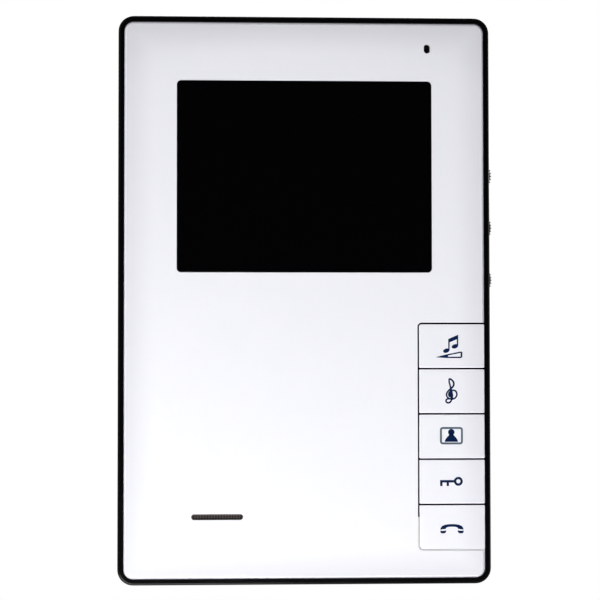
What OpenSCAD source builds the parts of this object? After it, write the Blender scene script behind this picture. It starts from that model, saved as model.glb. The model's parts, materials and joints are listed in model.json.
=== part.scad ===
// Wall-mounted video intercom monitor: a hands-free indoor station with a 4 inch display, five keys
// down the right-hand side and three thumbwheels in the right-hand wall.
//
// Frame: +Z up, +X to the right as a person faces the monitor, +Y into the wall. The origin is the
// middle of the wall bracket's back face, so the wall is the plane Y = 0 and the front faces -Y.

/* [Casing] */
// Width over the rim
body_w = 120; // [118:1:150]
// Height over the rim
body_h = 183; // [180:1:225]
// Depth from the wall to the face of the rim
body_d = 24; // [24:0.5:32]
// Corner radius of the rim, seen from the front
corner_r = 5; // [4:0.5:9]
// Thickness of the moulded walls
wall = 2; // [1.7:0.1:2.4]
// Visible width of the black rim round the faceplate
rim_w = 1.85; // [1.5:0.05:2.4]
// Thickness of the inner plate that carries the faceplate
plate_t = 2; // [1.6:0.1:3]
// Rounding of the rim's front edge
rim_edge_r = 0.7; // [0.3:0.1:1]
// Rounding of the rear casing's back edge
back_edge_r = 3; // [1.5:0.5:4]
// Step from the front casing in to the rear casing at the seam
seam_step = 0.25; // [0.1:0.05:0.5]
// Gap between the rear casing and the wall
wall_gap = 0.3; // [0.1:0.1:1]

/* [Faceplate] */
// Thickness of the acrylic faceplate
face_t = 1.8; // [1.2:0.1:2.4]
// Gap between the faceplate and the rim
face_gap = 0.1; // [0.05:0.05:0.3]
// Thickness of the adhesive sheet behind the faceplate
tape_t = 0.2; // [0.1:0.05:0.4]

/* [Display] */
// Width of the display window
window_w = 82.3; // [68:0.1:86]
// Height of the display window
window_h = 62; // [51:0.1:66]
// Rim's inner edge to the top of the window
window_top = 19; // [17:0.5:26]
// Corner radius of the window
window_r = 1.4; // [0.8:0.1:3]
// How much the module's own frame stands out past the window, each side
module_border_x = 5.35; // [4:0.05:5.5]
// The same above and below
module_border_z = 6; // [4:0.1:6]
// Thickness of the display module
module_t = 6; // [5:0.5:8]
// Thickness of the foam gasket in front of the module
gasket_t = 0.8; // [0.5:0.1:1.5]

/* [Keys] */
// Width of a key cap
key_w = 21.1; // [19:0.1:22]
// Distance from one key to the next
key_pitch = 14.57; // [12:0.01:15.2]
// Gap round a key cap
key_gap = 0.55; // [0.4:0.05:1]
// Rim's inner bottom edge to the middle of the gap under the lowest key
key_margin = 9; // [8:0.5:14]
// Travel of a key
key_travel = 0.5; // [0.3:0.1:0.7]
// Radius of the key column's upper free corner
key_top_r = 0.8; // [0.3:0.1:2]
// Radius of its lower free corner
key_low_r = 1.2; // [0.3:0.1:2]
// How far the pale strip in the gap runs up beside the lowest key
strip_rise = 10.5; // [6:0.5:13]

/* [Thumbwheels] */
// Radius of a thumbwheel
wheel_r = 7; // [6.5:0.25:7.5]
// Thickness of a thumbwheel
wheel_t = 2.2; // [1.6:0.1:3]
// How far a thumbwheel stands out past the rim
wheel_out = 1.8; // [0.8:0.1:2.4]
// Distance from one thumbwheel to the next
wheel_pitch = 17.1; // [15.5:0.1:19]
// Turn of a thumbwheel each way from its middle
wheel_turn = 135; // [90:5:150]

/* [Sound] */
// Length of the speaker slot
slot_l = 16.6; // [12:0.2:24]
// Height of the speaker slot
slot_h = 1.9; // [1.2:0.1:3]
// Rim's inner left edge to the middle of the slot
slot_left = 30; // [28:0.5:36]
// Rim's inner bottom edge to the middle of the slot
slot_bottom = 19.85; // [19:0.05:26]
// Radius of the speaker
speaker_r = 20; // [14:0.5:20]
// Width of the oval microphone hole
mic_hole_w = 2; // [1:0.1:3]
// Height of the oval microphone hole
mic_hole_h = 3; // [1:0.1:4]
// Rim's inner right edge to the microphone
mic_right = 18.4; // [14:0.1:24]
// Rim's inner top edge to the microphone
mic_top = 8.35; // [7:0.05:9]
// Radius of the microphone's rubber boot
boot_r = 3.1; // [2.8:0.1:3.1]

/* [Boards] */
// Thickness of the circuit boards
board_t = 1.6; // [1:0.2:2]
// Gap between the display module and the main board
board_gap = 2.4; // [2:0.1:4]
// Distance from the middle of the monitor down to the main board's lower edge
board_drop = 30; // [28:1:32]
// Width of the key board
key_board_w = 29; // [27:0.5:31]

/* [Wall bracket] */
// Width of the steel bracket
bracket_w = 86; // [82:1:96]
// Height of the steel bracket
bracket_h = 112; // [108:1:124]
// Thickness of the steel
steel_t = 1.2; // [1:0.1:1.5]
// Width of a hook
hook_w = 8; // [6:0.5:10]
// Sideways distance of each hook from the middle
hook_x = 33; // [32:0.5:34]
// Height of the upper hooks above the middle, and of the lower ones below it
hook_z = 30; // [28:0.5:31]
// Height of a hook's lip above its tongue
lip_h = 5.3; // [4:0.1:6]
// Hole spacing of the wall-box screws
box_pitch = 60; // [56:0.5:60]
// Length of a wall-box screw slot, end to end
box_slot_l = 8; // [6:0.5:9]
// Half width of a wall-box screw slot
box_slot_r = 2.1; // [1.8:0.1:2.3]
// Sideways spacing of the four plain wall holes
hole_dx = 70; // [68:1:72]
// Upright spacing of the four plain wall holes
hole_dz = 100; // [98:1:100]
// Radius of a plain wall hole
hole_r = 2.25; // [1.8:0.05:2.5]

/* [Hidden] */
$fn = 48;

KEYS = ["volume", "melody", "view", "unlock", "talk"];
WHEELS = ["brightness", "contrast", "sound"];

// Depths along Y, from the face back to the wall.
touch = 0.02;                            // clearance of faces that meet on assembly
y_face = -body_d;
y_cap_back = y_face + face_t;
y_plate = y_cap_back + tape_t;           // front of the inner plate
y_inner = y_plate + plate_t;             // back of the inner plate
y_module = y_inner + gasket_t;           // front of the display module
y_module_back = y_module + module_t;
y_board = y_module_back + board_gap;     // front of the main board
y_board_back = y_board + board_t;
trimmer_h = 2.2;
wheel_gap = 0.25;
y_wheel_back = y_board - trimmer_h - wheel_gap;
y_wheel = y_wheel_back - wheel_t;
y_seam = y_wheel_back + 0.4;             // where the two casings meet
y_back = -wall_gap;
y_back_inner = y_back - wall;

// Rim's inner edges and the moulding's inner walls.
inner_x = body_w / 2 - rim_w;
inner_z = body_h / 2 - rim_w;
inner_r = corner_r - rim_w;
cavity_x = body_w / 2 - wall;
cavity_z = body_h / 2 - wall;
cavity_r = corner_r - wall;

// Display.
window_z = inner_z - window_top - window_h / 2;
window_gap = 0.05;
view_w = window_w - 1;                   // the picture area
view_h = window_h - 1;
module_w = window_w + 2 * module_border_x;
module_h = window_h + 2 * module_border_z;
module_gap = 0.2;
module_rib = 1.2;
module_skin = 0.5;

// Keys. The column's lowest gap is centred key_margin above the rim.
key_x = inner_x - face_gap - key_w / 2;
key_h = key_pitch - key_gap;
column_bottom = -inner_z + key_margin;
column_top = column_bottom + len(KEYS) * key_pitch;
function key_z(i) = column_top - (i + 0.5) * key_pitch;
y_shelf = y_cap_back + key_travel + 0.3; // floor that a pressed key stays clear of
well_w = key_w - 3.2;
well_h = key_h - 3.1;
well_gap = 0.2;
flange_w = key_w - 1.6;
flange_h = key_h - 1.5;
flange_t = 1;
rest_gap = 0.05;
y_flange = y_inner + rest_gap;
stem_out = 0.9;                          // how far a switch stem stands out of its switch
stem_r = 1.75;
switch_w = 6;
switch_h = 3.5;
post_l = 0.55;
y_stem = y_flange + flange_t + post_l;
y_switch = y_stem + stem_out;
y_key_board = y_switch + switch_h;
key_board_right = cavity_x - 1.7;
key_board_left = key_board_right - key_board_w;
key_board_top = column_top + 2.8;
key_board_bottom = column_bottom + 2.2;
key_board_z = (key_board_top + key_board_bottom) / 2;
key_board_h = key_board_top - key_board_bottom;

// Thumbwheels, the first level with the middle of the window.
wheel_x = body_w / 2 + wheel_out - wheel_r;
function wheel_z(i) = window_z + 1.2 - i * wheel_pitch;
notch_h = 2 * sqrt(pow(wheel_r, 2) - pow(cavity_x - wheel_x, 2)) + 0.8;
shaft_r = 1.4;
running_gap = 0.05;

// Sound.
slot_x = -inner_x + slot_left;
slot_z = -inner_z + slot_bottom;
speaker_z = slot_z + 3.8;
speaker_flange_t = 1.2;
speaker_gasket_t = 1;
y_speaker = y_inner + speaker_gasket_t;
speaker_post_r = 2.5;
speaker_post_at = speaker_r + speaker_post_r + 0.6;
speaker_post_turns = [90, 210, 330];
mic_x = inner_x - mic_right;
mic_z = inner_z - mic_top;

// Main board, hung from the top of the casing.
board_top = cavity_z - 13.5;
board_bottom = -board_drop;
board_z = (board_top + board_bottom) / 2;
board_h = board_top - board_bottom;
board_left = -cavity_x + 3;
board_right = cavity_x - 2;
board_w = board_right - board_left;
board_x = (board_left + board_right) / 2;
boss_x = cavity_x - 7;
board_boss = [
    [-boss_x, board_top - 4],
    [boss_x, board_top - 4],
    [-boss_x, board_bottom + 4],
    [22, board_bottom + 4]
];
key_boss = [for (dz = [-1, 0, 1]) [key_board_left + 4, key_board_z + dz * (key_board_h / 2 - 7)]];

// Screws, all driven from behind.
case_boss_r = 3.25;
case_screw_r = 1.45;
case_head_r = 2.9;
case_screw = [for (x = [-1, 1], z = [-1, 1]) [x * (cavity_x - 5.5), z * (cavity_z - 5.5)]];
board_screw_r = 1.05;
board_head_r = 2.2;
y_case_seat = y_seam + 2;

// Bracket and what the casing has for it.
hook_gap = 0.3;
lift = lip_h + 0.5;                      // how far the monitor is lifted to come off its hooks
y_recess = -steel_t - hook_gap;          // floor of the recess that the bracket fills
recess_wall = 1.8;
y_lip = y_recess - recess_wall - hook_gap;
hook_bend = 0.8;
hang_gap = 0.05;                         // slot's top edge above the tongue that carries it
lance = 9.5;                             // height of the window that a hook is bent out of
opening_w = 40;
opening_h = 50;
pocket_floor = y_recess - 2.7;           // room for the heads of the wall screws
pocket_wall = 1.2;
cable_w = 36;
cable_top = 8;
cable_bottom = -18;
header_z = -3;
header_pins_in = [4, 4, 2];
pin_pitch = 2.54;

// ---------------------------------------------------------------- shapes

// Extrudes a shape drawn in X and Z from one depth back to another.
module slab(front, back)
    translate([0, back, 0])
        rotate([90, 0, 0])
            linear_extrude(height = back - front)
                children();

// Extrudes a shape drawn in Y and Z along X, centred on x.
module along_x(x, width)
    translate([x - width / 2, 0, 0])
        rotate([90, 0, 90])
            linear_extrude(height = width)
                children();

// A rectangle with round corners.
module round_rect(w, h, r) {
    square([w - 2 * r, h], center = true);
    square([w, h - 2 * r], center = true);
    for (x = [-1, 1], z = [-1, 1])
        translate([x * (w / 2 - r), z * (h / 2 - r)])
            circle(r);
}

// A slot with round ends, centred, its length along X.
module stadium(length, height) {
    square([length - height, height], center = true);
    for (x = [-1, 1])
        translate([x * (length - height) / 2, 0])
            circle(height / 2);
}

module at(place)
    translate([place[0], place[1]])
        children();

module ring(outer, inner)
    difference() {
        circle(outer);
        circle(inner);
    }

// One slice of a shell that hull() blends: the outline drawn in by inset.
module slice(inset, y)
    slab(y, y + 0.01)
        round_rect(body_w - 2 * inset, body_h - 2 * inset, corner_r - inset * 0.6, $fn = 32);

// A pan-head screw driven from behind, its head resting on y_seat.
module screw(place, y_seat, shaft_r, length, head_r, head_h)
    difference() {
        union() {
            slab(y_seat - length, y_seat) at(place) circle(shaft_r);
            slab(y_seat, y_seat + head_h * 0.6) at(place) circle(head_r);
            slab(y_seat + head_h * 0.6, y_seat + head_h) at(place) circle(head_r * 0.82);
        }
        slab(y_seat + head_h * 0.35, y_seat + head_h + 1)
            at(place) {
                square([head_r * 1.15, head_r * 0.3], center = true);
                square([head_r * 0.3, head_r * 1.15], center = true);
            }
    }

// A round tube swept along a smooth line through the points.
function bend_point(p, i, t) =
    let (
        a = p[max(i - 1, 0)],
        b = p[i],
        c = p[i + 1],
        d = p[min(i + 2, len(p) - 1)]
    )
    0.5 * (2 * b + (c - a) * t + (2 * a - 5 * b + 4 * c - d) * t * t
        + (3 * b - a - 3 * c + d) * t * t * t);
function smooth_line(p, steps) = concat(
    [for (i = [0:len(p) - 2], k = [0:steps - 1]) bend_point(p, i, k / steps)],
    [p[len(p) - 1]]
);
function unit(v) = v / norm(v);

module tube(points, radius, steps = 4, sides = 8) {
    line = smooth_line(points, steps);
    last = len(line) - 1;
    rings = [
        for (i = [0:last])
            let (
                way = unit(line[min(i + 1, last)] - line[max(i - 1, 0)]),
                side = unit(cross(way, [0.08, 1, 0.11])),
                up = cross(side, way)
            )
            for (k = [0:sides - 1])
                line[i] + radius * (cos(360 * k / sides) * side + sin(360 * k / sides) * up)
    ];
    polyhedron(
        points = rings,
        faces = concat(
            [[for (k = [0:sides - 1]) k]],
            [[for (k = [sides - 1:-1:0]) last * sides + k]],
            [
                for (i = [0:last - 1], k = [0:sides - 1])
                    let (a = i * sides + k, b = i * sides + (k + 1) % sides)
                    [a, a + sides, b + sides, b]
            ]
        )
    );
}

// ---------------------------------------------------------------- wall bracket

module hook_profile() {
    difference() {
        union() {
            translate([y_lip - steel_t, 0]) square([-y_lip, steel_t]);
            translate([y_lip - steel_t, 0]) square([steel_t, steel_t + lip_h]);
            translate([y_lip, steel_t]) square(hook_bend);
        }
        translate([y_lip + hook_bend, steel_t + hook_bend]) circle(hook_bend);
        difference() {
            translate([y_lip - steel_t - 1, -1]) square(1 + steel_t);
            translate([y_lip, steel_t]) circle(steel_t);
        }
    }
}

module wall_bracket()
    color("silver") {
        slab(-steel_t, 0)
            difference() {
                round_rect(bracket_w, bracket_h, 4);
                round_rect(opening_w, opening_h, 3);
                for (x = [-1, 1])
                    translate([x * box_pitch / 2, 0])
                        stadium(box_slot_l, 2 * box_slot_r);
                for (x = [-1, 1], z = [-1, 1])
                    translate([x * hole_dx / 2, z * hole_dz / 2])
                        circle(hole_r);
                for (x = [-1, 1], z = [-1, 1])
                    translate([x * hook_x - hook_w / 2 - 0.8, z * hook_z - lance])
                        square([hook_w + 1.6, lance]);
            }
        for (x = [-1, 1], z = [-1, 1])
            translate([0, 0, z * hook_z])
                along_x(x * hook_x, hook_w)
                    hook_profile();
    }

// ---------------------------------------------------------------- rear casing

module rear_outer()
    hull() {
        slice(seam_step, y_seam);
        for (turn = [0:22.5:90])
            slice(
                seam_step + 0.6 + back_edge_r * (1 - cos(turn)),
                y_back - back_edge_r * (1 - sin(turn)) - 0.01
            );
    }

module recess_outline(grow)
    translate([0, -(lift + 0.6) / 2])
        round_rect(bracket_w + 1.4 + 2 * grow, bracket_h + 1.4 + lift + 2 * grow, 4 + grow);

module pocket_outline(grow) {
    head = 5;
    for (x = [-1, 1])
        translate([x * box_pitch / 2, -lift / 2])
            square([2 * head + box_slot_l - 2 * box_slot_r + 2 * grow, 2 * head + lift + 2 * grow],
                center = true);
    for (x = [-1, 1], z = [-1, 1])
        translate([x * hole_dx / 2, z * hole_dz / 2 - lift / 2])
            square([2 * head + 2 * grow, 2 * head + lift + 2 * grow], center = true);
}

module hook_slots(bend_room)
    for (x = [-1, 1], z = [-1, 1])
        translate([x * hook_x - hook_w / 2 - 0.5, z * hook_z - lift - hook_gap])
            square([hook_w + 1, lift + hook_gap + steel_t + hang_gap + bend_room]);

module cable_outline(grow)
    translate([0, (cable_top + cable_bottom) / 2])
        round_rect(cable_w + 2 * grow, cable_top - cable_bottom + 2 * grow, 2);

module vents(z)
    for (i = [-6:6])
        translate([i * 4, z])
            rotate(90)
                stadium(11, 1.8);

module rear_lip(grow)
    difference() {
        round_rect(2 * (cavity_x + grow), 2 * (cavity_z + grow), cavity_r);
        round_rect(2 * (cavity_x - 1.15), 2 * (cavity_z - 1.15), cavity_r);
    }

module wheel_room()
    translate([cavity_x - 3, wheel_z(2) - wheel_r - 2])
        square([4, 2 * (wheel_pitch + wheel_r + 2)]);

module rear_casing()
    color("#141416")
        difference() {
            union() {
                difference() {
                    rear_outer();
                    slab(y_seam - 1, y_back - back_edge_r)
                        round_rect(2 * cavity_x, 2 * cavity_z, cavity_r);
                    slab(y_back - back_edge_r - 0.1, y_back_inner)
                        round_rect(2 * cavity_x - back_edge_r, 2 * cavity_z - back_edge_r, cavity_r);
                }
                slab(y_recess - recess_wall, y_back_inner + 0.1) recess_outline(1.5);
                slab(pocket_floor - pocket_wall, y_back_inner + 0.1) pocket_outline(1);
                for (place = case_screw)
                    slab(y_seam, y_back_inner + 0.5) at(place) circle(4.25);
                slab(y_seam - 1.5, y_seam + 1.6)
                    difference() {
                        rear_lip(-0.15);
                        wheel_room();
                    }
                slab(y_seam, y_seam + 1.6)
                    difference() {
                        rear_lip(0.2);
                        wheel_room();
                    }
            }
            slab(y_recess, 1) recess_outline(0);
            slab(pocket_floor, 0) pocket_outline(0);
            slab(y_recess - recess_wall - 1, 0) hook_slots(0);
            slab(y_recess - recess_wall - 1, y_lip + hook_bend + 0.05) hook_slots(hook_bend);
            slab(y_recess - recess_wall - 1, 0) cable_outline(0);
            slab(y_back - 4, 1) vents(cavity_z - 11);
            slab(y_back - 4, 1) vents(-cavity_z + 13);
            for (place = case_screw) {
                slab(y_case_seat, 1) at(place) circle(3.2);
                slab(y_seam - 2, 1) at(place) circle(1.7);
            }
        }

// ---------------------------------------------------------------- front casing

module front_outer()
    hull() {
        slice(0, y_seam - 0.01);
        for (turn = [0:30:90])
            slice(rim_edge_r * (1 - cos(turn)), y_face + rim_edge_r * (1 - sin(turn)));
    }

module module_ribs()
    translate([0, window_z])
        difference() {
            round_rect(module_w + 2 * (module_gap + module_rib),
                module_h + 2 * (module_gap + module_rib), 1.5);
            square([module_w + 2 * module_gap, module_h + 2 * module_gap], center = true);
            for (x = [-1, 1])
                translate([x * module_w / 4, 0])
                    square([module_w / 3, module_h + 10], center = true);
        }

module column_outline(grow) {
    left = key_x - key_w / 2 - grow;
    right = inner_x + 5;
    low = column_bottom + key_gap / 2 - grow;
    high = column_top - key_gap / 2 + grow;
    low_r = key_low_r + grow;
    top_r = key_top_r + grow;
    edge = max(low_r, top_r);
    translate([left + edge, low]) square([right - left - edge, high - low]);
    translate([left, low + low_r]) square([edge, high - low - low_r - top_r]);
    translate([left + low_r, low + low_r]) circle(low_r);
    translate([left + low_r, low]) square([edge - low_r + 0.01, 2 * low_r]);
    translate([left + top_r, high - top_r]) circle(top_r);
    translate([left + top_r, high - 2 * top_r]) square([edge - top_r + 0.01, 2 * top_r]);
}

module face_outline(inset)
    round_rect(2 * (inner_x - inset), 2 * (inner_z - inset), inner_r - inset);

module speaker_posts()
    for (turn = speaker_post_turns)
        translate([slot_x, speaker_z])
            rotate(turn)
                translate([speaker_post_at, 0])
                    children();

module front_casing()
    color("#0c0c0e")
        difference() {
            union() {
                difference() {
                    front_outer();
                    slab(y_face - 1, y_plate) face_outline(0);
                    slab(y_inner, y_seam + 1)
                        round_rect(2 * cavity_x, 2 * cavity_z, cavity_r);
                }
                slab(y_inner - 0.5, y_inner + 4) module_ribs();
                for (place = case_screw)
                    slab(y_inner - 0.5, y_seam) at(place) circle(case_boss_r);
                for (place = board_boss)
                    slab(y_inner - 0.5, y_board) at(place) circle(2.6);
                for (place = key_boss)
                    slab(y_inner - 0.5, y_key_board) at(place) circle(2.4);
                slab(y_inner - 0.5, y_speaker + speaker_flange_t) speaker_posts() circle(speaker_post_r);
                slab(y_inner - 0.5, y_inner + 1.6)
                    at([slot_x, speaker_z]) ring(speaker_r + 1.1, speaker_r + 0.1);
                slab(y_inner - 0.5, y_inner + 3) at([mic_x, mic_z]) circle(boot_r + 1);
            }
            slab(y_plate - 1, y_inner + 1) {
                translate([0, window_z]) square([view_w, view_h], center = true);
                translate([slot_x, slot_z]) stadium(slot_l + 1, slot_h + 1);
                for (i = [0:len(KEYS) - 1])
                    translate([key_x, key_z(i)]) square([well_w, well_h], center = true);
            }
            slab(y_plate - 1, y_shelf)
                intersection() {
                    column_outline(key_gap);
                    face_outline(0);
                }
            slab(y_plate - 1, y_inner + 1) at([mic_x, mic_z]) circle(mic_hole_h / 2);
            slab(y_inner, y_inner + 4) at([mic_x, mic_z]) circle(boot_r + touch);
            for (i = [0:len(WHEELS) - 1])
                slab(y_wheel - 0.4, y_seam + 1)
                    translate([body_w / 2, wheel_z(i)])
                        square([2 * wall + 4, notch_h], center = true);
            for (place = case_screw)
                slab(y_inner + 0.8, y_seam + 1) at(place) circle(case_screw_r);
            for (place = board_boss)
                slab(y_inner + 1, y_board + 1) at(place) circle(board_screw_r);
            for (place = key_boss)
                slab(y_inner + 0.8, y_key_board + 1) at(place) circle(board_screw_r);
            slab(y_inner - 1, y_speaker + speaker_flange_t + 1)
                speaker_posts() circle(board_screw_r);
        }

// ---------------------------------------------------------------- faceplate and window

module face_openings() {
    translate([slot_x, slot_z]) stadium(slot_l, slot_h);
    translate([mic_x, mic_z]) rotate(90) stadium(mic_hole_h, mic_hole_w);
}

module faceplate()
    color("white")
        slab(y_face, y_cap_back)
            difference() {
                face_outline(face_gap);
                column_outline(key_gap);
                translate([0, window_z])
                    round_rect(window_w + 2 * window_gap, window_h + 2 * window_gap, window_r);
                face_openings();
            }

module faceplate_tape()
    color("dimgray")
        slab(y_cap_back, y_plate)
            difference() {
                face_outline(face_gap + 0.8);
                column_outline(key_gap + 0.8);
                translate([0, window_z]) square([view_w, view_h], center = true);
                translate([slot_x, slot_z]) square([slot_l + 5, slot_h + 5], center = true);
                at([mic_x, mic_z]) circle(mic_hole_h / 2 + 0.3);
            }

module display_window()
    color("black")
        slab(y_face, y_cap_back)
            translate([0, window_z])
                round_rect(window_w, window_h, window_r);

module speaker_mesh()
    color("#3a3330")
        slab(y_cap_back, y_plate)
            translate([slot_x, slot_z])
                square([slot_l + 4, slot_h + 4], center = true);

// ---------------------------------------------------------------- display module

module module_at() translate([0, window_z]) children();

module display_gasket()
    color("#202020")
        slab(y_inner, y_module)
            module_at()
                difference() {
                    square([module_w - 1, module_h - 1], center = true);
                    square([view_w + 2, view_h + 2], center = true);
                }

module display_frame()
    color("lightgray") {
        slab(y_module, y_module + module_skin)
            module_at()
                difference() {
                    square([module_w, module_h], center = true);
                    square([view_w + 1, view_h + 1], center = true);
                }
        slab(y_module + module_skin, y_module_back)
            module_at()
                difference() {
                    square([module_w, module_h], center = true);
                    square([module_w - 2 * module_skin, module_h - 2 * module_skin], center = true);
                    translate([0, -module_h / 2]) square([24, 3], center = true);
                }
    }

module module_core()
    module_at()
        square([module_w - 2 * module_skin - 2 * touch, module_h - 2 * module_skin - 2 * touch],
            center = true);

panel_t = 2;

module display_panel()
    color("#08080a")
        slab(y_module + module_skin, y_module + module_skin + panel_t) module_core();

module display_backlight()
    color("white")
        slab(y_module + module_skin + panel_t, y_module_back) module_core();

// A flat printed strip that leaves the module's lower edge, turns back and ends on the main board.
module flex_profile() {
    strip = 0.3;
    edge = window_z - module_h / 2;
    drop = 7;
    y_out = y_module_back - 1.4;
    translate([y_out, edge - drop + 1]) square([strip, drop - 1 + module_skin]);
    translate([y_out + 1 + strip, edge - drop + 1])
        difference() {
            circle(1 + strip);
            circle(1);
            translate([-3, 0]) square([6, 3]);
        }
    translate([y_out + 2 + strip, edge - drop + 1]) square([strip, drop - 4]);
}

module display_flex()
    color("#c8781e")
        along_x(0, 20)
            flex_profile();

module display_pads()
    color("#303030")
        slab(y_module_back, y_board)
            for (x = [-1, 1], z = [-1, 1])
                translate([x * 30, window_z + z * 22])
                    square([14, 10], center = true);

// ---------------------------------------------------------------- main board

module main_board()
    color("darkgreen")
        slab(y_board, y_board_back)
            difference() {
                union() {
                    translate([board_x, board_z]) square([board_w, board_h], center = true);
                    translate([0, wheel_z(2) - 6])
                        square([cavity_x - 0.4, 2 * wheel_pitch + 12]);
                }
                for (place = board_boss) at(place) circle(1.4);
            }

// Plain chip bodies behind the main board: place, width, height and thickness.
chips = [
    [[0, 30], 14, 14, 1.4],
    [[-22, 14], 10, 7, 1.6],
    [[22, 20], 10, 5, 1.6],
    [[0, 52], 8, 5, 1.2],
    [[-24, 62], 5, 6, 1.5],
    [[17, 62], 6, 5, 1.5]
];
module board_chips()
    color("#1a1a1a")
        for (chip = chips)
            slab(y_board_back, y_board_back + chip[3])
                at(chip[0]) square([chip[1], chip[2]], center = true);

capacitors = [[-14, 42], [-8, 64], [6, 66], [14, 40], [-45, 58], [-45, 50], [45, 24], [-46, -16]];
module board_capacitors()
    color("#c9ccd0")
        for (place = capacitors) {
            slab(y_board_back, y_board_back + 0.6) at(place) square(5.3, center = true);
            slab(y_board_back + 0.6, y_board_back + 4.4) at(place) circle(2.5);
        }

coils = [[-16, 24], [28, 6], [45, 34]];
module board_coils()
    color("#2b2b2e")
        for (place = coils)
            slab(y_board_back, y_board_back + 3)
                at(place) {
                    square([6.5, 4.5], center = true);
                    square([4.5, 6.5], center = true);
                }

// Small white sockets for the leads inside the casing: place, width, and which side they face.
socket_h = 3;
socket_d = 4;
sockets = [
    [[slot_x - 4, board_bottom + 5], 6],
    [[8, board_bottom + 5], 14],
    [[mic_x - 1, board_top - 5], 6]
];
module board_sockets()
    color("ivory") {
        for (socket = sockets)
            slab(y_board_back, y_board_back + socket_h)
                at(socket[0]) square([socket[1], socket_d], center = true);
        slab(y_board - 1.5, y_board)
            translate([0, window_z - module_h / 2 - 0.5]) square([24, 5], center = true);
    }

// Three keyed headers in a row, for the door stations and the power supply.
header_gap = 2.5;
header_base_h = 3.2;
header_h = 6.2;
header_wall_t = 1.2;
header_d = 5.8;
pin_w = 0.64;
header_run = pin_pitch * (header_pins_in[0] + header_pins_in[1] + header_pins_in[2])
    + 2 * header_gap;
function pins_before(i) = i == 0 ? 0 : header_pins_in[i - 1] + pins_before(i - 1);
function header_left(i) = -header_run / 2 + pin_pitch * pins_before(i) + i * header_gap;

module station_headers()
    color("white")
        difference() {
            for (i = [0:2]) {
                w = header_pins_in[i] * pin_pitch;
                slab(y_board_back, y_board_back + header_base_h)
                    translate([header_left(i), header_z - header_d / 2]) square([w, header_d]);
                slab(y_board_back + header_base_h, y_board_back + header_h)
                    translate([header_left(i), header_z + header_d / 2 - header_wall_t])
                        square([w, header_wall_t]);
            }
            slab(y_board_back - 1, y_board_back + header_h) pin_outlines(pin_w + 0.02);
        }

module pin_outlines(width)
    for (i = [0:2], k = [0:header_pins_in[i] - 1])
        translate([header_left(i) + (k + 0.5) * pin_pitch, header_z - 0.4])
            square(width, center = true);

module header_pins()
    color("gold")
        slab(y_board_back, y_board_back + header_h - 0.3) pin_outlines(pin_w);

module trimmer_bases()
    color("#2a2018")
        slab(y_board - trimmer_h, y_board)
            for (i = [0:len(WHEELS) - 1])
                difference() {
                    translate([wheel_x - 6.5, wheel_z(i) - 3.75])
                        square([cavity_x - 0.5 - wheel_x + 6.5, 7.5]);
                    translate([wheel_x, wheel_z(i)])
                        circle(shaft_r + running_gap);
                }

// ---------------------------------------------------------------- thumbwheels

knurls = 44;
knurl_depth = 0.35;
module knurled_disc(r)
    polygon([
        for (i = [0:knurls - 1], corner = [[0.0, 0], [0.25, 1], [0.55, 1], [0.8, 0]])
            let (turn = 360 * (i + corner[0]) / knurls, out = r - knurl_depth * corner[1])
            [out * cos(turn), out * sin(turn)]
    ]);

module wheel(i)
    color("#101012")
        translate([wheel_x, 0, wheel_z(i)])
            difference() {
                union() {
                    slab(y_wheel, y_wheel_back) knurled_disc(wheel_r);
                    slab(y_wheel_back - 0.5, y_board - 0.1) circle(shaft_r);
                }
                slab(y_wheel - 1, y_wheel + 0.5) ring(wheel_r - 1.6, 2.4);
                slab(y_wheel - 1, y_wheel + 0.7) square([3, 0.7], center = true);
            }

// ---------------------------------------------------------------- keys

module key_outline(i) {
    first = i == 0;
    last = i == len(KEYS) - 1;
    difference() {
        square([key_w, key_h], center = true);
        if (first) free_corner(1, key_top_r);
        if (last) free_corner(-1, key_low_r);
    }
}

module free_corner(way, r)
    translate([-key_w / 2 + r, way * (key_h / 2 - r)])
        difference() {
            translate([-r / 2 - 0.5, way * (r / 2 + 0.5)])
                square(r + 1, center = true);
            circle(r);
        }

module key_cap(i)
    color("white")
        slab(y_face, y_cap_back)
            translate([key_x, key_z(i)])
                key_outline(i);

module key_carrier(i)
    color("#161618")
        translate([key_x, 0, key_z(i)]) {
            slab(y_cap_back, y_flange + flange_t)
                square([well_w - 2 * well_gap, well_h - 2 * well_gap], center = true);
            slab(y_flange, y_flange + flange_t)
                square([flange_w, flange_h], center = true);
            slab(y_flange + flange_t - 0.2, y_stem)
                circle(2);
        }

module switch_stem(i)
    color("#303034")
        slab(y_stem, y_switch + 2)
            translate([key_x, key_z(i)])
                circle(stem_r);

module key_switches()
    color("#1c1c1e")
        for (i = [0:len(KEYS) - 1])
            translate([key_x, 0, key_z(i)])
                difference() {
                    slab(y_switch, y_key_board) square(switch_w, center = true);
                    slab(y_switch - 1, y_switch + 2 + key_travel + 0.2) circle(stem_r + running_gap);
                }

module key_board()
    color("darkgreen")
        slab(y_key_board, y_key_board + board_t)
            difference() {
                translate([(key_board_left + key_board_right) / 2, key_board_z])
                    square([key_board_w, key_board_h], center = true);
                for (place = key_boss) at(place) circle(1.3);
            }

// A pale strip that fills the gap beside and below the lowest key.
module key_gap_strip()
    color("gainsboro")
        slab(y_face + 0.15, y_shelf)
            intersection() {
                difference() {
                    column_outline(key_gap - 0.05);
                    column_outline(0.1);
                }
                translate([0, column_bottom - 2]) square([inner_x - face_gap, strip_rise + 2]);
            }

key_socket = [key_board_left + 5, key_board_z - (key_board_h / 2 - 7) / 2];
module key_board_socket()
    color("ivory")
        slab(y_key_board + board_t, y_key_board + board_t + socket_h)
            at(key_socket) square([socket_d, 14], center = true);

// ---------------------------------------------------------------- sound

module speaker_at() translate([slot_x, 0, speaker_z]) children();

// Turned parts are drawn as radius against depth behind the speaker's front.
module turned(y) translate([0, y, 0]) rotate([-90, 0, 0]) rotate_extrude() children();

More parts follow.
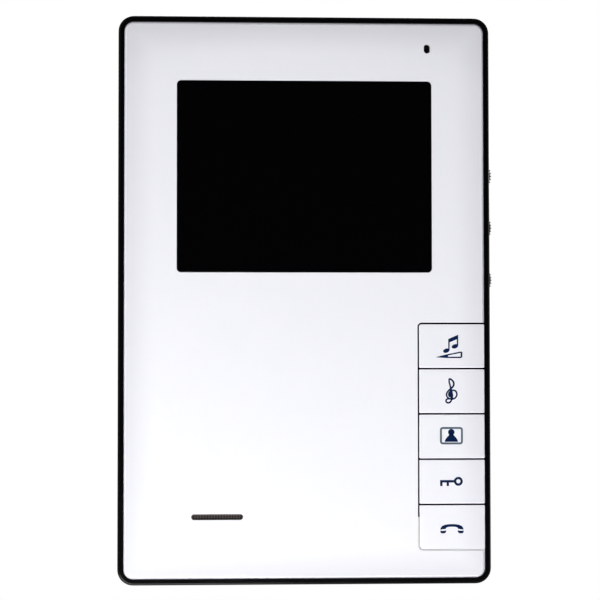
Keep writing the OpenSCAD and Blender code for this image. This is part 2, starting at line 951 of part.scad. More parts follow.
basket_h = 5;
magnet_r = 11;
module speaker_frame()
    color("#6a6d70")
        speaker_at()
            turned(y_speaker)
                polygon([
                    [speaker_r - 2.2, 0],
                    [speaker_r, 0],
                    [speaker_r, speaker_flange_t],
                    [speaker_r - 1.6, speaker_flange_t],
                    [magnet_r + 2, basket_h],
                    [magnet_r - 3, basket_h],
                    [magnet_r - 3, basket_h - 0.8],
                    [magnet_r + 1.4, basket_h - 0.8],
                    [speaker_r - 2.2, speaker_flange_t]
                ]);

module speaker_cone()
    color("#24221f")
        speaker_at()
            turned(y_speaker)
                polygon([
                    [0, 1.2],
                    [4, 1.6],
                    [6, 2.4],
                    [speaker_r - 5.5, 0.9],
                    [speaker_r - 4, 0.3],
                    [speaker_r - 2.3, 0.8],
                    [speaker_r - 2.3, 1.1],
                    [speaker_r - 4, 0.7],
                    [speaker_r - 5.5, 1.3],
                    [6, 2.9],
                    [6, 4],
                    [5.6, 4],
                    [5.6, 2.7],
                    [4, 2],
                    [0, 1.6]
                ]);

module speaker_magnet()
    color("silver")
        speaker_at()
            slab(y_speaker + basket_h, y_speaker + basket_h + 5)
                circle(magnet_r);

module speaker_gasket()
    color("#303030")
        speaker_at()
            slab(y_inner, y_speaker)
                ring(speaker_r, speaker_r - 2.2);

module microphone()
    color("silver")
        slab(y_inner + 1, y_inner + 3.2) at([mic_x, mic_z]) circle(boot_r - 0.8);

module microphone_boot()
    color("#262626")
        difference() {
            slab(y_inner, y_inner + 4) at([mic_x, mic_z]) circle(boot_r);
            slab(y_inner - 1, y_inner + 2) at([mic_x, mic_z]) circle(0.9);
            slab(y_inner + 1, y_inner + 5) at([mic_x, mic_z]) circle(boot_r - 0.8 + touch);
        }

// ---------------------------------------------------------------- screws

module case_screws()
    color("silver")
        for (place = case_screw)
            screw(place, y_case_seat, case_screw_r - touch, 8, case_head_r, 2);

module board_screws()
    color("silver")
        for (place = board_boss)
            screw(place, y_board_back, board_screw_r - touch, 6, board_head_r, 1.5);

module key_board_screws()
    color("silver")
        for (place = key_boss)
            screw(place, y_key_board + board_t, board_screw_r - touch, 5, board_head_r, 1.2);

// Each speaker screw has a wide head that laps over the speaker's flange.
module speaker_screws()
    color("silver")
        for (turn = speaker_post_turns)
            screw(
                [slot_x + speaker_post_at * cos(turn), speaker_z + speaker_post_at * sin(turn)],
                y_speaker + speaker_flange_t, board_screw_r - touch, 2, 4, 1.2
            );

// ---------------------------------------------------------------- leads

wire_r = 0.6;
module speaker_wires()
    color("firebrick")
        for (side = [-1, 1]) {
            end = sockets[0][0];
            tube([
                [slot_x + 1.5 * side, y_speaker + basket_h + 1, speaker_z + magnet_r + wire_r],
                [slot_x + 1.5 * side - 0.4, y_speaker + basket_h + 1.1, speaker_z + magnet_r + 5],
                [end[0] + 1.5 * side + 0.4, y_board_back + 1, board_bottom - 8],
                [end[0] + 1.5 * side, y_board_back + 1.5, board_bottom - 3],
                [end[0] + 1.5 * side, y_board_back + 1.5, end[1] - socket_d / 2]
            ], wire_r);
        }

module microphone_wires()
    color("white")
        for (side = [-1, 1]) {
            end = sockets[2][0];
            tube([
                [mic_x + 1.1 * side, y_inner + 3.2, mic_z],
                [mic_x + 1.1 * side, y_inner + 6, mic_z],
                [mic_x + 1.2 * side, y_board - 1, mic_z - 0.6],
                [end[0] + 1.5 * side, y_board_back + 1, board_top + 2],
                [end[0] + 1.5 * side, y_board_back + 1.5, end[1] + socket_d / 2]
            ], wire_r);
        }

module key_board_cable()
    color("lightgray")
        for (k = [-2.5:2.5]) {
            end_x = sockets[1][0][0] + 2 * k;
            start_x = key_socket[0] - socket_d / 2;
            start_z = key_socket[1] + 2 * k;
            tube([
                [start_x, y_key_board + board_t + 1.5, start_z],
                [start_x - 3, y_key_board + board_t + 1.8, start_z],
                [end_x + 4, y_board_back, start_z],
                [end_x, y_board_back + 0.5, start_z + 4],
                [end_x, y_board_back + 1.5, board_bottom - 4],
                [end_x, y_board_back + 1.5, sockets[1][0][1] - socket_d / 2]
            ], wire_r, steps = 3, sides = 6);
        }

// ---------------------------------------------------------------- nodes

wall_bracket();
rear_casing();
front_casing();
faceplate();
faceplate_tape();
display_window();
display_gasket();
display_frame();
display_panel();
display_backlight();
display_flex();
display_pads();
main_board();
board_chips();
board_capacitors();
board_coils();
board_sockets();
station_headers();
header_pins();
trimmer_bases();
key_board();
key_switches();
key_board_socket();
key_gap_strip();
speaker_frame();
speaker_cone();
speaker_magnet();
speaker_gasket();
speaker_mesh();
microphone();
microphone_boot();
case_screws();
board_screws();
key_board_screws();
speaker_screws();
speaker_wires();
microphone_wires();
key_board_cable();
for (i = [0:len(WHEELS) - 1])
    wheel(i);
for (i = [0:len(KEYS) - 1]) {
    key_cap(i);
    key_carrier(i);
    switch_stem(i);
}
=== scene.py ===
"""Looks for a wall-mounted video intercom monitor: a hands-free indoor station in a slim black
casing, with a white acrylic face, a black display window, five printed keys and three thumbwheels.

Metres throughout, in the part's own frame: +Z up, +X to the right of a person facing the monitor,
+Y into the wall. Sizes written as a number times MM are millimetres.
"""

import json
import math

import bmesh
import bpy
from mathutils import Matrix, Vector


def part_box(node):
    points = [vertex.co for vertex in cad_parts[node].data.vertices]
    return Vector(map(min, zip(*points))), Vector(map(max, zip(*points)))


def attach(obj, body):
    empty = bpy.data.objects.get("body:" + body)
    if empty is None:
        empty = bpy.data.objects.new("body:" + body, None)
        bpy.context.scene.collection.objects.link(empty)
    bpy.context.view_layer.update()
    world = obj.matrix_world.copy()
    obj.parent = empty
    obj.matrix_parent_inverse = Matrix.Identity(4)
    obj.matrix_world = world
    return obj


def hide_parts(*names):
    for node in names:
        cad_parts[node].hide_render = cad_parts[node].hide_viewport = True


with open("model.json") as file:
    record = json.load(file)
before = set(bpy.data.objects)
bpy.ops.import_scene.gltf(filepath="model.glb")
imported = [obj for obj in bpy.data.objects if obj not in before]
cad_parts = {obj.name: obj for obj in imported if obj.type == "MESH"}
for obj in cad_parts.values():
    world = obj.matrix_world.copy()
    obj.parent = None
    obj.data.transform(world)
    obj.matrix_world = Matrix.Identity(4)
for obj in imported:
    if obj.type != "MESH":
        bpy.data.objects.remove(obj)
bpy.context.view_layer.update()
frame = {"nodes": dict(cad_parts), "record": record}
nodes = frame["nodes"]

MM = 0.001
face_low, face_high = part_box("faceplate")
capsule_low, capsule_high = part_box("microphone")
KEYS = ["volume", "melody", "view", "unlock", "talk"]


# ------------------------------------------------------------ camera

camera = bpy.data.objects.new("camera", bpy.data.cameras.new("camera"))
bpy.context.scene.collection.objects.link(camera)
bpy.context.scene.camera = camera
camera.location = (-29.7 * MM, -624 * MM, -21.3 * MM)
camera.rotation_euler = [math.radians(turn) for turn in (92.007, 0.059, -2.685)]
camera.data.sensor_width = 36
camera.data.lens = 112.02
camera.data.clip_start = 0.01
camera.data.clip_end = 50


# ------------------------------------------------------------ materials

def linear(hex_code):
    """A colour written as sRGB hex, as the linear values a shader works in."""
    parts = [int(hex_code[i:i + 2], 16) / 255 for i in (1, 3, 5)]
    return [p / 12.92 if p <= 0.04045 else ((p + 0.055) / 1.055) ** 2.4 for p in parts] + [1.0]


def add(tree, kind, inputs=None, **settings):
    """Adds a node, sets its properties, and sets or links its inputs."""
    made = tree.nodes.new("ShaderNode" + kind)
    for name, value in settings.items():
        setattr(made, name, value)
    for name, value in (inputs or {}).items():
        if isinstance(value, bpy.types.NodeSocket):
            tree.links.new(value, made.inputs[name])
        else:
            made.inputs[name].default_value = value
    return made


def new_material(name, **shader_inputs):
    """An empty material with one Principled shader, its constants set on the shader itself."""
    material = bpy.data.materials.new(name)
    material.use_nodes = True
    tree = material.node_tree
    tree.nodes.clear()
    names = {key.replace("_", " ").title().replace("Ior", "IOR"): value
             for key, value in shader_inputs.items()}
    shader = add(tree, "BsdfPrincipled", names)
    add(tree, "OutputMaterial", {"Surface": shader.outputs["BSDF"]})
    place = add(tree, "TexCoord").outputs["Object"]
    return material, tree, shader, place


def per_metre(size_mm):
    """A noise scale whose features are about that many millimetres across."""
    return 1 / (size_mm * MM)


def back_printed_acrylic(name, hex_code):
    # Clear acrylic sheet, screen-printed white on its back and polished in front: bright even
    # white under a wet gloss. Painted shade: over the last few millimetres towards the faceplate's
    # outer edges the base colour greys, standing in for light that leaks out at the edge.
    # Faint wiping marks show in the gloss.
    material, tree, shader, place = new_material(
        name, roughness=0.55, ior=1.49, coat_weight=1.0, coat_ior=1.49)
    # Painted shade: the nearer the faceplate's outer edge, the greyer the base colour.
    across = add(tree, "SeparateXYZ", {"Vector": place})
    far_x = add(tree, "Math", {0: across.outputs["X"]}, operation="ABSOLUTE")
    far_z = add(tree, "Math", {0: across.outputs["Z"]}, operation="ABSOLUTE")
    edge_x = add(tree, "Math", {0: face_high.x, 1: far_x.outputs["Value"]}, operation="SUBTRACT")
    edge_z = add(tree, "Math", {0: face_high.z, 1: far_z.outputs["Value"]}, operation="SUBTRACT")
    nearest = add(tree, "Math", {0: edge_x.outputs["Value"], 1: edge_z.outputs["Value"],
                                 2: 4 * MM}, operation="SMOOTH_MIN")
    painted_edge_shade_fade = add(tree, "MapRange", {"Value": nearest.outputs["Value"], "From Min": -1 * MM,
                                  "From Max": 11 * MM}, interpolation_type="SMOOTHSTEP")
    wipe = add(tree, "TexNoise", {"Vector": place, "Scale": per_metre(14), "Detail": 6.0,
                                  "Roughness": 0.65, "Distortion": 0.6})
    middle = add(tree, "Mix", {"Factor": wipe.outputs["Fac"], "A": linear(hex_code),
                               "B": linear("#ECECF0")}, data_type="RGBA")
    # Painted shade: near the faceplate's outer edges the white is mixed down to the grey #DBDBE0.
    tint = add(tree, "Mix", {"Factor": painted_edge_shade_fade.outputs["Result"], "A": linear("#DBDBE0"),
                             "B": middle.outputs[2]}, data_type="RGBA")
    gloss = add(tree, "MapRange", {"Value": wipe.outputs["Fac"], "From Min": 0.35,
                                   "From Max": 0.75, "To Min": 0.02, "To Max": 0.07})
    tree.links.new(tint.outputs[2], shader.inputs["Base Color"])
    tree.links.new(gloss.outputs["Result"], shader.inputs["Coat Roughness"])
    return material


def acrylic_edge_painted_glow(name):
    # The sheet's chamfered and cut edges. Painted light: they carry a faint emission that stands
    # in for light travelling inside the clear acrylic and leaving here, so they are never as dark
    # as an edge coated with paint would be.
    material, tree, shader, place = new_material(
        name, ior=1.49, emission_color=linear("#F2F1FA"), emission_strength=0.2)
    sawn = add(tree, "TexNoise", {"Vector": place, "Scale": per_metre(1.2), "Detail": 4.0})
    tint = add(tree, "Mix", {"Factor": sawn.outputs["Fac"], "A": linear("#DEDDE6"),
                             "B": linear("#F0EFF6")}, data_type="RGBA")
    gloss = add(tree, "MapRange", {"Value": sawn.outputs["Fac"], "From Min": 0.3,
                                   "From Max": 0.7, "To Min": 0.12, "To Max": 0.3})
    tree.links.new(tint.outputs[2], shader.inputs["Base Color"])
    tree.links.new(gloss.outputs["Result"], shader.inputs["Roughness"])
    return material


def moulded_abs(name, hex_code, grain_mm, roughness, depth):
    # ABS moulded in a spark-eroded tool: a fine even pebble that breaks up the highlights.
    material, tree, shader, place = new_material(
        name, base_color=linear(hex_code), ior=1.52, specular_ior_level=0.1)
    pebble = add(tree, "TexNoise", {"Vector": place, "Scale": per_metre(grain_mm),
                                    "Detail": 2.0, "Roughness": 0.5})
    cloud = add(tree, "TexNoise", {"Vector": place, "Scale": per_metre(9), "Detail": 3.0})
    wear = add(tree, "MapRange", {"Value": cloud.outputs["Fac"], "From Min": 0.3,
                                  "From Max": 0.7, "To Min": roughness - 0.03,
                                  "To Max": roughness + 0.03})
    bump = add(tree, "Bump", {"Height": pebble.outputs["Fac"], "Strength": depth,
                              "Distance": 0.04 * MM})
    tree.links.new(wear.outputs["Result"], shader.inputs["Roughness"])
    tree.links.new(bump.outputs["Normal"], shader.inputs["Normal"])
    return material


def smoked_acrylic(name):
    # Dark acrylic over a switched-off display: a deep black mirror with dim finger smears.
    material, tree, shader, place = new_material(name, base_color=linear("#030304"), ior=1.49)
    smear = add(tree, "TexNoise", {"Vector": place, "Scale": per_metre(18), "Detail": 5.0,
                                   "Roughness": 0.6, "Distortion": 0.5})
    gloss = add(tree, "MapRange", {"Value": smear.outputs["Fac"], "From Min": 0.45,
                                   "From Max": 0.75, "To Min": 0.03, "To Max": 0.09})
    tree.links.new(gloss.outputs["Result"], shader.inputs["Roughness"])
    return material


def screen_ink(name, hex_code, thin_hex):
    # Screen-printed ink: opaque, satin, with the slight mottle of the mesh it went through.
    material, tree, shader, place = new_material(
        name, roughness=0.45, ior=1.5, specular_ior_level=0.06)
    mottle = add(tree, "TexNoise", {"Vector": place, "Scale": per_metre(0.5), "Detail": 3.0})
    ramp = add(tree, "Mix", {"Factor": mottle.outputs["Fac"], "A": linear(hex_code),
                             "B": linear(thin_hex)}, data_type="RGBA")
    tree.links.new(ramp.outputs[2], shader.inputs["Base Color"])
    return material


def zinc_plated_steel(name):
    # Cold-rolled steel sheet, bright zinc plated: rolling streaks along Z under a cloudy,
    # faintly blue passivation.
    material, tree, shader, place = new_material(name, metallic=1.0)
    streak_place = add(tree, "Mapping", {"Vector": place, "Scale": (1.0, 1.0, 0.04)})
    streak = add(tree, "TexNoise", {"Vector": streak_place.outputs["Vector"],
                                    "Scale": per_metre(0.4), "Detail": 4.0})
    cloud = add(tree, "TexNoise", {"Vector": place, "Scale": per_metre(6), "Detail": 4.0})
    tint = add(tree, "Mix", {"Factor": cloud.outputs["Fac"], "A": linear("#B4B8BC"),
                             "B": linear("#9AA3AE")}, data_type="RGBA")
    gloss = add(tree, "MapRange", {"Value": streak.outputs["Fac"], "From Min": 0.3,
                                   "From Max": 0.7, "To Min": 0.24, "To Max": 0.42})
    bump = add(tree, "Bump", {"Height": streak.outputs["Fac"], "Strength": 0.15,
                              "Distance": 0.02 * MM})
    tree.links.new(tint.outputs[2], shader.inputs["Base Color"])
    tree.links.new(gloss.outputs["Result"], shader.inputs["Roughness"])
    tree.links.new(bump.outputs["Normal"], shader.inputs["Normal"])
    return material


def solder_mask(name):
    # Glass-epoxy board under green solder mask: straight copper tracks 1.3 mm apart, drawn
    # twice as wide as real ones so that they show, stand a little proud and paler.
    material, tree, shader, place = new_material(name, roughness=0.32, ior=1.55)
    upright = add(tree, "Mapping", {"Vector": place, "Rotation": (math.radians(90), 0, 0)})
    long_tracks = add(tree, "TexBrick", {
        "Vector": upright.outputs["Vector"], "Scale": 1.0, "Mortar Size": 0.18 * MM,
        "Mortar Smooth": 0.3, "Brick Width": 9 * MM, "Row Height": 1.3 * MM}, offset=0.37)
    turned = add(tree, "Mapping", {"Vector": place,
                                   "Rotation": (math.radians(90), 0, math.radians(90))})
    cross_tracks = add(tree, "TexBrick", {
        "Vector": turned.outputs["Vector"], "Scale": 1.0, "Mortar Size": 0.18 * MM,
        "Mortar Smooth": 0.3, "Brick Width": 14 * MM, "Row Height": 2.6 * MM}, offset=0.61)
    zone = add(tree, "TexNoise", {"Vector": place, "Scale": per_metre(22), "Detail": 0.0})
    side = add(tree, "Math", {0: zone.outputs["Fac"], 1: 0.5}, operation="GREATER_THAN")
    copper = add(tree, "Mix", {"Factor": side.outputs["Value"], "A": long_tracks.outputs["Fac"],
                               "B": cross_tracks.outputs["Fac"]})
    tint = add(tree, "Mix", {"Factor": copper.outputs["Result"], "A": linear("#0E4A2A"),
                             "B": linear("#1F7042")}, data_type="RGBA")
    bump = add(tree, "Bump", {"Height": copper.outputs["Result"], "Strength": 0.4,
                              "Distance": 0.03 * MM})
    tree.links.new(tint.outputs[2], shader.inputs["Base Color"])
    tree.links.new(bump.outputs["Normal"], shader.inputs["Normal"])
    return material


def plain_moulding(name, hex_code, roughness=0.5, metallic=0.0, spread=0.08):
    # Small moulded, pressed or drawn pieces inside: an even colour, and a roughness that
    # varies a little over the surface as handling leaves it.
    material, tree, shader, place = new_material(
        name, base_color=linear(hex_code), metallic=metallic)
    speck = add(tree, "TexNoise", {"Vector": place, "Scale": per_metre(0.6), "Detail": 3.0})
    gloss = add(tree, "MapRange", {"Value": speck.outputs["Fac"], "From Min": 0.3,
                                   "From Max": 0.7, "To Min": roughness - spread,
                                   "To Max": roughness + spread})
    tree.links.new(gloss.outputs["Result"], shader.inputs["Roughness"])
    return material


def felted_capsule(name):
    # Drawn aluminium capsule whose sound inlet, in front, is covered by a disc of black felt.
    material, tree, shader, place = new_material(name)
    depth = add(tree, "SeparateXYZ", {"Vector": place}).outputs["Y"]
    felt = add(tree, "Math", {0: depth, 1: capsule_low.y + 0.1 * MM}, operation="LESS_THAN")
    fibre = add(tree, "TexNoise", {"Vector": place, "Scale": per_metre(0.1), "Detail": 3.0})
    tint = add(tree, "Mix", {"Factor": felt.outputs["Value"], "A": linear("#C8C9CC"),
                             "B": linear("#060606")}, data_type="RGBA")
    gloss = add(tree, "MapRange", {"Value": felt.outputs["Value"], "To Min": 0.3,
                                   "To Max": 0.95})
    metal = add(tree, "Math", {0: 1.0, 1: felt.outputs["Value"]}, operation="SUBTRACT")
    bump = add(tree, "Bump", {"Height": fibre.outputs["Fac"], "Strength": 0.4,
                              "Distance": 0.03 * MM})
    tree.links.new(tint.outputs[2], shader.inputs["Base Color"])
    tree.links.new(gloss.outputs["Result"], shader.inputs["Roughness"])
    tree.links.new(metal.outputs["Value"], shader.inputs["Metallic"])
    tree.links.new(bump.outputs["Normal"], shader.inputs["Normal"])
    return material


def acoustic_mesh(name):
    # Woven acoustic mesh: dark brown threads, drawn at 0.45 mm spacing, which is coarser than
    # the real cloth, so that the weave shows.
    material, tree, shader, place = new_material(name, roughness=0.7)
    weave_x = add(tree, "TexWave", {"Vector": place, "Scale": 2.2 / MM * 0.16},
                  bands_direction="X")
    weave_z = add(tree, "TexWave", {"Vector": place, "Scale": 2.2 / MM * 0.16},
                  bands_direction="Z")
    threads = add(tree, "Math", {0: weave_x.outputs["Fac"], 1: weave_z.outputs["Fac"]},
                  operation="MULTIPLY")
    tint = add(tree, "Mix", {"Factor": threads.outputs["Value"], "A": linear("#1F1917"),
                             "B": linear("#6B5C57")}, data_type="RGBA")
    bump = add(tree, "Bump", {"Height": threads.outputs["Value"], "Strength": 0.6,
                              "Distance": 0.1 * MM})
    tree.links.new(tint.outputs[2], shader.inputs["Base Color"])
    tree.links.new(bump.outputs["Normal"], shader.inputs["Normal"])
    return material


FINISHES = {
    "faceplate_white": back_printed_acrylic("back_printed_acrylic_face", "#E8E9EE"),
    "key_white": back_printed_acrylic("back_printed_acrylic_keys", "#E6E7EC"),
    "window_black": smoked_acrylic("smoked_acrylic_window"),
    "casing_black": moulded_abs("spark_textured_abs", "#040405", 0.35, 0.19, 0.06),
    "wheel_black": moulded_abs("smooth_moulded_abs", "#040405", 0.8, 0.22, 0.06),
    "carrier_black": moulded_abs("moulded_abs_carrier", "#121214", 0.5, 0.45, 0.1),
    "zinc_steel": zinc_plated_steel("zinc_plated_steel"),
    "board_green": solder_mask("green_solder_mask"),
    "mesh_brown": acoustic_mesh("woven_acoustic_mesh"),
    "tape_grey": plain_moulding("tissue_adhesive_sheet", "#6E6C68", 0.7),
    "strip_pale": plain_moulding("milky_silicone_strip", "#CACACA", 0.45),
    "foam_black": plain_moulding("closed_cell_foam", "#1C1C1D", 0.85),
    "pressed_steel": plain_moulding("tinned_steel_pressing", "#B8B9BA", 0.32, 1.0),
    "panel_black": plain_moulding("display_glass_stack", "#0A0A0C", 0.12, spread=0.04),
    "backlight_white": plain_moulding("backlight_polycarbonate", "#DADAD4", 0.5),
    "flex_amber": plain_moulding("polyimide_film", "#9C5A1B", 0.25, spread=0.06),
    "chip_black": plain_moulding("epoxy_mould_compound", "#1B1B1D", 0.6),
    "capacitor_silver": plain_moulding("drawn_aluminium_can", "#C3C6CA", 0.28, 1.0),
    "ferrite_grey": plain_moulding("sintered_ferrite", "#2E2E31", 0.65),
    "socket_ivory": plain_moulding("ivory_nylon_socket", "#DCD5BE", 0.45),
    "header_white": plain_moulding("natural_nylon_header", "#E2E1DA", 0.45),
    "pin_brass": plain_moulding("tinned_brass_pin", "#C9B27A", 0.25, 1.0),
    "trimmer_brown": plain_moulding("phenolic_trimmer_base", "#4A3524", 0.5),
    "switch_black": plain_moulding("glass_filled_nylon", "#242427", 0.5),
    "speaker_steel": plain_moulding("painted_steel_basket", "#3A3B3E", 0.45, 0.3),
    "cone_dark": plain_moulding("polyester_film_cone", "#23211E", 0.35),
    "magnet_zinc": plain_moulding("zinc_plated_magnet_cup", "#A9ACB0", 0.32, 1.0),
    "can_aluminium": felted_capsule("felted_aluminium_capsule"),
    "boot_rubber": plain_moulding("moulded_rubber_boot", "#1E1E1E", 0.75),
    "screw_steel": plain_moulding("zinc_plated_screw", "#B1B3B4", 0.3, 1.0),
    "wire_red": plain_moulding("red_pvc_sleeve", "#9E2A22", 0.4),
    "wire_white": plain_moulding("white_pvc_sleeve", "#DDDCD8", 0.4),
    "wire_grey": plain_moulding("grey_pvc_sleeve", "#9B9B9D", 0.4),
}
ACRYLIC_EDGE_PAINTED_GLOW = acrylic_edge_painted_glow("cut_acrylic_edge")
NAVY_INK = screen_ink("navy_screen_ink", "#00102E", "#02204E")
SLATE_INK = screen_ink("slate_screen_ink", "#465462", "#566472")

for part in frame["record"]["subparts"]:
    mesh = nodes[part["node"]].data
    mesh.materials.clear()
    mesh.materials.append(FINISHES[part["material_slot"]])


# ------------------------------------------------------------ making pieces

ROUND_SEGMENTS = 12           # flats round a corner
SMOOTH_ANGLE = math.radians(40)   # edges sharper than this are broken and stay crisp


def clear():
    """Selects nothing."""
    bpy.ops.object.select_all(action="DESELECT")


def only(piece):
    """Selects one piece alone."""
    clear()
    piece.select_set(True)
    bpy.context.view_layer.objects.active = piece


def settle(piece):
    """Puts the piece's place, turn and size into its mesh."""
    only(piece)
    bpy.ops.object.transform_apply(location=True, rotation=True, scale=True)


def block(name, low, high):
    """A box between two corners."""
    clear()
    low, high = Vector(low), Vector(high)
    bpy.ops.mesh.primitive_cube_add(size=1, location=(low + high) / 2)
    piece = bpy.context.object
    piece.name = piece.data.name = name
    piece.scale = high - low
    settle(piece)
    return piece


def bevel_edges(piece, width, segments, chosen):
    """Bevels the edges for which chosen(end, end) is true."""
    only(piece)
    bpy.ops.object.mode_set(mode="EDIT")
    bpy.ops.mesh.select_mode(type="EDGE")
    bpy.ops.mesh.select_all(action="DESELECT")
    shape = bmesh.from_edit_mesh(piece.data)
    for edge in shape.edges:
        edge.select_set(chosen(edge.verts[0].co, edge.verts[1].co))
    bmesh.update_edit_mesh(piece.data)
    bpy.ops.mesh.bevel(offset=width, segments=segments, affect="EDGES")
    bpy.ops.object.mode_set(mode="OBJECT")


def round_corners(piece, radius, chosen=lambda corner: True):
    """Rounds corners as seen from the front: edges that run straight back along Y."""
    bevel_edges(piece, radius, ROUND_SEGMENTS, lambda a, b:
                abs(a.x - b.x) + abs(a.z - b.z) < 0.001 * MM and chosen(a))


def cut(piece, tool):
    """Takes the tool's volume out of the piece, and throws the tool away."""
    only(piece)
    step = piece.modifiers.new("cut", "BOOLEAN")
    step.object = tool
    step.operation = "DIFFERENCE"
    step.solver = "EXACT"
    bpy.ops.object.modifier_apply(modifier=step.name)
    bpy.data.objects.remove(tool)


def polish(piece, width, segments):
    """Breaks every sharp edge and shades the piece smooth between them."""
    only(piece)
    step = piece.modifiers.new("polish", "BEVEL")
    step.width = width
    step.segments = segments
    step.limit_method = "ANGLE"
    step.angle_limit = SMOOTH_ANGLE
    bpy.ops.object.modifier_apply(modifier=step.name)
    bpy.ops.object.shade_smooth_by_angle(angle=SMOOTH_ANGLE)
    step = piece.modifiers.new("flat_faces", "WEIGHTED_NORMAL")
    step.keep_sharp = True
    step.weight = 100
    bpy.ops.object.modifier_apply(modifier=step.name)


def wear(piece, material, body, slot, *stands_for, edge=None):
    """Gives a finished piece its materials and its body, and hides the nodes that it stands for.

    Faces that lean forward, but don't face straight ahead, take the edge material.
    """
    piece.data.materials.clear()
    piece.data.materials.append(material)
    if edge:
        piece.data.materials.append(edge)
        for face in piece.data.polygons:
            face.material_index = int(-0.97 < face.normal.y < -0.2)
    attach(piece, body)
    if stands_for:
        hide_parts(*stands_for)


# ------------------------------------------------------------ faceplate, window and keys

window_low, window_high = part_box("display_window")
mesh_low, mesh_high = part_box("speaker_mesh")
top_key_low, top_key_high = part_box("key_cap_" + KEYS[0])
bottom_key_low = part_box("key_cap_" + KEYS[-1])[0]

front = face_low.y
NEAR = 0.01 * MM              # closer than this counts as being at a place
INK = 0.02 * MM               # thickness of a printed sign; its key's face lies that far back
THROUGH = 5 * MM              # how far a cutting tool stands out of what it cuts
FACE_RADIUS = 3.05 * MM       # the sheet's corners
FACE_CHAMFER = 0.75 * MM
FACE_POLISH = 0.16 * MM
KEY_GAP = 0.55 * MM           # between a key and the sheet round it
NOTCH_RADIUS_TOP = 1.35 * MM
NOTCH_RADIUS_BOTTOM = 1.75 * MM
NOTCH_MIDDLE = -40 * MM       # a height between the notch's two left corners
WINDOW_GAP = 0.05 * MM        # between the window pane and the sheet round it
WINDOW_RADIUS = 1.4 * MM
WINDOW_POLISH = 0.12 * MM
SLOT = (8.3 * MM, 0.95 * MM)  # half of the speaker slot's width and height
SLOT_RADIUS = 0.94 * MM
HOLE = (1.0 * MM, 1.5 * MM)   # half of the microphone hole's width and height
HOLE_RADIUS = 0.99 * MM
KEY_RADIUS_TOP = 0.8 * MM     # the top key's one round corner
KEY_RADIUS_BOTTOM = 1.2 * MM  # the lowest key's
KEY_POLISH = 0.3 * MM


def opening(low_x, high_x, low_z, high_z, radius):
    """A cutting tool right through the faceplate, with round corners."""
    tool = block("opening", (low_x, front - THROUGH, low_z), (high_x, front + THROUGH, high_z))
    round_corners(tool, radius)
    return tool


def opening_round(low, high, half_size, radius):
    """A cutting tool of a given half size, in front of the middle of a box."""
    x, z = (low.x + high.x) / 2, (low.z + high.z) / 2
    return opening(x - half_size[0], x + half_size[0], z - half_size[1], z + half_size[1], radius)


faceplate = block("acrylic_faceplate", face_low, face_high)
round_corners(faceplate, FACE_RADIUS)
bevel_edges(faceplate, FACE_CHAMFER, 1, lambda a, b: max(a.y, b.y) < front + NEAR)

notch_low = bottom_key_low.z - KEY_GAP
notch_high = top_key_high.z + KEY_GAP
notch_left = top_key_low.x - KEY_GAP
notch = block("notch", (notch_left, front - THROUGH, notch_low),
              (face_high.x + THROUGH, front + THROUGH, notch_high))
round_corners(notch, NOTCH_RADIUS_TOP, lambda corner:
              corner.x < face_high.x and corner.z > NOTCH_MIDDLE)
round_corners(notch, NOTCH_RADIUS_BOTTOM, lambda corner:
              corner.x < notch_left + NEAR and corner.z < NOTCH_MIDDLE)
cut(faceplate, notch)
cut(faceplate, opening(window_low.x - WINDOW_GAP, window_high.x + WINDOW_GAP,
                       window_low.z - WINDOW_GAP, window_high.z + WINDOW_GAP, WINDOW_RADIUS))
cut(faceplate, opening_round(mesh_low, mesh_high, SLOT, SLOT_RADIUS))
cut(faceplate, opening_round(capsule_low, capsule_high, HOLE, HOLE_RADIUS))
polish(faceplate, FACE_POLISH, 2)
wear(faceplate, FINISHES["faceplate_white"], "monitor", "faceplate_white", "faceplate",
     edge=ACRYLIC_EDGE_PAINTED_GLOW)

window = block("display_window_pane", window_low, window_high)
round_corners(window, WINDOW_RADIUS)
polish(window, WINDOW_POLISH, 2)
wear(window, FINISHES["window_black"], "monitor", "window_black", "display_window")

for key in KEYS:
    low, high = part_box("key_cap_" + key)
    cap = block("acrylic_key_" + key, (low.x, low.y + INK, low.z), high)
    if key == KEYS[0]:
        round_corners(cap, KEY_RADIUS_TOP, lambda corner:
                      corner.x < low.x + MM and corner.z > high.z - MM)
    if key == KEYS[-1]:
        round_corners(cap, KEY_RADIUS_BOTTOM, lambda corner:
                      corner.x < low.x + MM and corner.z < low.z + MM)
    polish(cap, KEY_POLISH, 4)
    wear(cap, FINISHES["key_white"], key + "_key", "key_white", "key_cap_" + key,
         edge=ACRYLIC_EDGE_PAINTED_GLOW)


# ------------------------------------------------------------ printed signs

def draw_through(spline, points, smooth):
    """Lays a curve through points given in millimetres, with their weights if they have them."""
    spline.bezier_points.add(len(points) - 2)
    for knot, place in zip(spline.bezier_points, points):
        knot.co = (place[0] * MM, place[1] * MM, 0)
        knot.radius = weight(place)
        knot.handle_left_type = knot.handle_right_type = "AUTO" if smooth else "VECTOR"


def weight(place):
    """How thick the line is at a point, as a share of its width."""
    return place[2] if len(place) > 2 else 1


def ink_line(points, width, closed=False, smooth=True):
    """A line of ink through (x, z) or (x, z, weight) points, in mm from the key's middle."""
    clear()
    bpy.ops.curve.primitive_bezier_curve_add()
    line = bpy.context.object
    draw_through(line.data.splines[0], points, smooth)
    line.data.splines[0].use_cyclic_u = closed
    line.data.bevel_depth = width * MM / 2
    line.data.bevel_resolution = 3
    line.data.resolution_u = 10
    line.data.use_fill_caps = not closed
    bpy.ops.object.convert(target="MESH")
    line.scale = (1, 1, INK / (width * MM * max(weight(place) for place in points)))
    settle(line)
    return line


def ink_shape(points):
    """A filled patch of ink inside (x, z) points, in mm from the key's middle."""
    clear()
    bpy.ops.curve.primitive_bezier_curve_add()
    patch = bpy.context.object
    patch.data.dimensions = "2D"
    draw_through(patch.data.splines[0], points, smooth=False)
    patch.data.splines[0].use_cyclic_u = True
    patch.data.fill_mode = "BOTH"
    patch.data.resolution_u = 8
    patch.data.extrude = INK / 2
    bpy.ops.object.convert(target="MESH")
    return patch


